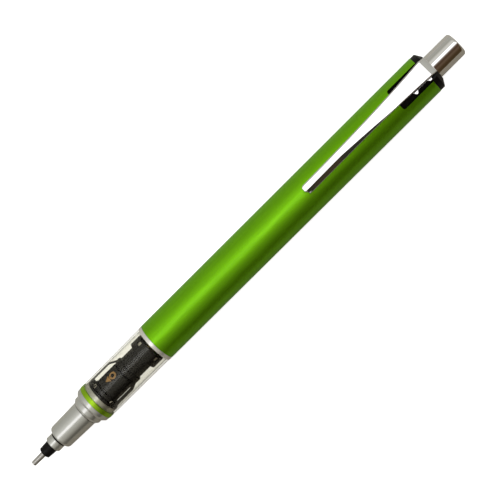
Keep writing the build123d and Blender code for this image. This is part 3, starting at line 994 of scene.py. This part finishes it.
def make_camera():
    swing = Vector((0, -math.sin(CAMERA_SWING), math.cos(CAMERA_SWING)))
    back = (swing * math.cos(CAMERA_LEAN) + Vector((1, 0, 0)) * math.sin(CAMERA_LEAN)).normalized()
    along = (Vector((1, 0, 0)) - back * back.x).normalized()
    across = back.cross(along)
    right = along * math.cos(IMAGE_ANGLE) - across * math.sin(IMAGE_ANGLE)
    up = along * math.sin(IMAGE_ANGLE) + across * math.cos(IMAGE_ANGLE)
    target = Vector((TIP_X + VIEW_FROM_TIP, 0, AXIS_Z)) - across * VIEW_OFFSET
    data = bpy.data.cameras.new("camera")
    data.sensor_width = SENSOR
    data.lens = LENS
    data.clip_start = 0.01
    camera = bpy.data.objects.new("camera", data)
    bpy.context.scene.collection.objects.link(camera)
    matrix = camera.matrix_world.to_3x3()
    matrix.col[0], matrix.col[1], matrix.col[2] = right, up, back
    camera.matrix_world = matrix.to_4x4()
    camera.location = target + back * CAMERA_DISTANCE
    bpy.context.scene.camera = camera


PANEL = (1.7, 1.7, 1.72)
FAR_WALL = (0.44, 0.44, 0.41)
BEHIND = (0.30, 0.30, 0.29)

# Brightness round the pencil, in degrees from straight up towards -Y: a grey wall on the far
# side, a bright panel overhead and a dark room on the near side. Seen from the button, the
# dark begins beside the panel. Seen from the barrel and the nose it comes on slowly.
BUTTON_END_ROOM = (
    (-180, BEHIND), (-95, FAR_WALL), (-55, (0.38, 0.38, 0.34)), (-36, (0.68, 0.68, 0.64)),
    (-20, (0.66, 0.66, 0.62)), (-14, PANEL), (1, PANEL), (8, (0.4, 0.37, 0.35)),
    (15, (0.14, 0.10, 0.07)), (25, (0.07, 0.04, 0.025)), (42, (0.12, 0.08, 0.05)),
    (65, (0.055, 0.033, 0.014)), (80, (0.06, 0.038, 0.018)), (95, (0.10, 0.075, 0.045)),
    (180, BEHIND),
)
TIP_END_ROOM = (
    (-180, BEHIND), (-90, FAR_WALL), (-60, (0.48, 0.48, 0.45)), (-30, (0.74, 0.74, 0.70)),
    (-18, (0.80, 0.80, 0.78)), (-13, PANEL), (4, PANEL), (9, (0.60, 0.59, 0.54)),
    (35, (0.48, 0.47, 0.42)), (50, (0.33, 0.32, 0.28)), (65, (0.12, 0.11, 0.09)),
    (77, (0.03, 0.03, 0.02)), (100, (0.02, 0.02, 0.015)), (180, BEHIND),
)


def room_ramp(tree, turn, stops):
    """A colour ramp round the axis, from -180 to 180 degrees."""
    ramp = tree.nodes.new("ShaderNodeValToRGB")
    elements = ramp.color_ramp.elements
    while len(elements) > 1:
        elements.remove(elements[0])
    for index, (degrees, color) in enumerate(stops):
        position = (degrees + 180) / 360
        element = elements[0] if index == 0 else elements.new(position)
        element.position = position
        element.color = (*color, 1)
    tree.links.new(turn, ramp.inputs["Fac"])
    return ramp.outputs["Color"]


def make_world():
    """The studio: one ramp of light round the axis for each end of the room."""
    world = bpy.data.worlds.new("studio")
    bpy.context.scene.world = world
    world.use_nodes = True
    tree = world.node_tree
    tree.nodes.clear()
    links = tree.links
    output = tree.nodes.new("ShaderNodeOutputWorld")
    background = tree.nodes.new("ShaderNodeBackground")
    coords = tree.nodes.new("ShaderNodeTexCoord")
    split = tree.nodes.new("ShaderNodeSeparateXYZ")
    flip = tree.nodes.new("ShaderNodeMath")
    flip.operation = "MULTIPLY"
    flip.inputs[1].default_value = -1
    angle = tree.nodes.new("ShaderNodeMath")
    angle.operation = "ARCTAN2"
    turn = tree.nodes.new("ShaderNodeMapRange")
    turn.inputs["From Min"].default_value = -math.pi
    turn.inputs["From Max"].default_value = math.pi
    towards_tip = tree.nodes.new("ShaderNodeMapRange")
    towards_tip.inputs["From Min"].default_value = 0.0
    towards_tip.inputs["From Max"].default_value = -0.07
    mix = tree.nodes.new("ShaderNodeMix")
    mix.data_type = "RGBA"
    color_inputs = [socket for socket in mix.inputs if socket.type == "RGBA"]
    color_output = [socket for socket in mix.outputs if socket.type == "RGBA"][0]
    links.new(coords.outputs["Generated"], split.inputs[0])
    links.new(split.outputs["Y"], flip.inputs[0])
    links.new(flip.outputs[0], angle.inputs[0])
    links.new(split.outputs["Z"], angle.inputs[1])
    links.new(angle.outputs[0], turn.inputs["Value"])
    links.new(split.outputs["X"], towards_tip.inputs["Value"])
    links.new(towards_tip.outputs["Result"], mix.inputs[0])
    links.new(room_ramp(tree, turn.outputs["Result"], BUTTON_END_ROOM), color_inputs[0])
    links.new(room_ramp(tree, turn.outputs["Result"], TIP_END_ROOM), color_inputs[1])
    links.new(color_output, background.inputs["Color"])
    links.new(background.outputs[0], output.inputs[0])


def make_floor():
    """Pale table: white to the eye; where metal mirrors it, a painted grey shade that is darker on
    the near side.
    """
    half = 3.0
    floor = mesh_object(
        "floor", [(-half, -half, 0), (half, -half, 0), (half, half, 0), (-half, half, 0)],
        [(0, 1, 2, 3)], smooth=False,
    )
    material = bpy.data.materials.new("floor")
    material.use_nodes = True
    tree = material.node_tree
    tree.nodes.clear()
    output = tree.nodes.new("ShaderNodeOutputMaterial")
    seen = tree.nodes.new("ShaderNodeEmission")
    seen.inputs["Color"].default_value = (1, 1, 1, 1)
    seen.inputs["Strength"].default_value = 0.85
    matt = tree.nodes.new("ShaderNodeBsdfDiffuse")
    matt.inputs["Color"].default_value = (0.9, 0.9, 0.9, 1)
    both = tree.nodes.new("ShaderNodeAddShader")
    mirrored = tree.nodes.new("ShaderNodeBsdfDiffuse")
    coords = tree.nodes.new("ShaderNodeTexCoord")
    split = tree.nodes.new("ShaderNodeSeparateXYZ")
    shade = tree.nodes.new("ShaderNodeMapRange")
    shade.inputs["From Min"].default_value = -8 * MM
    shade.inputs["From Max"].default_value = 8 * MM
    blend = tree.nodes.new("ShaderNodeMix")
    blend.data_type = "RGBA"
    near, far = [socket for socket in blend.inputs if socket.type == "RGBA"]
    # Painted shade for the mirrored table: darker and warmer on the near (-Y) side, lighter on the
    # far side.
    near.default_value = (0.40, 0.37, 0.31, 1)
    far.default_value = (0.66, 0.65, 0.60, 1)
    blended = [socket for socket in blend.outputs if socket.type == "RGBA"][0]
    tree.links.new(coords.outputs["Object"], split.inputs[0])
    tree.links.new(split.outputs["Y"], shade.inputs["Value"])
    tree.links.new(shade.outputs["Result"], blend.inputs[0])
    tree.links.new(blended, mirrored.inputs["Color"])
    path = tree.nodes.new("ShaderNodeLightPath")
    choose = tree.nodes.new("ShaderNodeMixShader")
    tree.links.new(seen.outputs[0], both.inputs[0])
    tree.links.new(matt.outputs[0], both.inputs[1])
    tree.links.new(path.outputs["Is Camera Ray"], choose.inputs["Fac"])
    tree.links.new(mirrored.outputs[0], choose.inputs[1])
    tree.links.new(both.outputs[0], choose.inputs[2])
    tree.links.new(choose.outputs[0], output.inputs["Surface"])
    floor.data.materials.append(material)


bpy.context.scene.view_settings.view_transform = "Standard"
make_camera()
make_world()
make_floor()
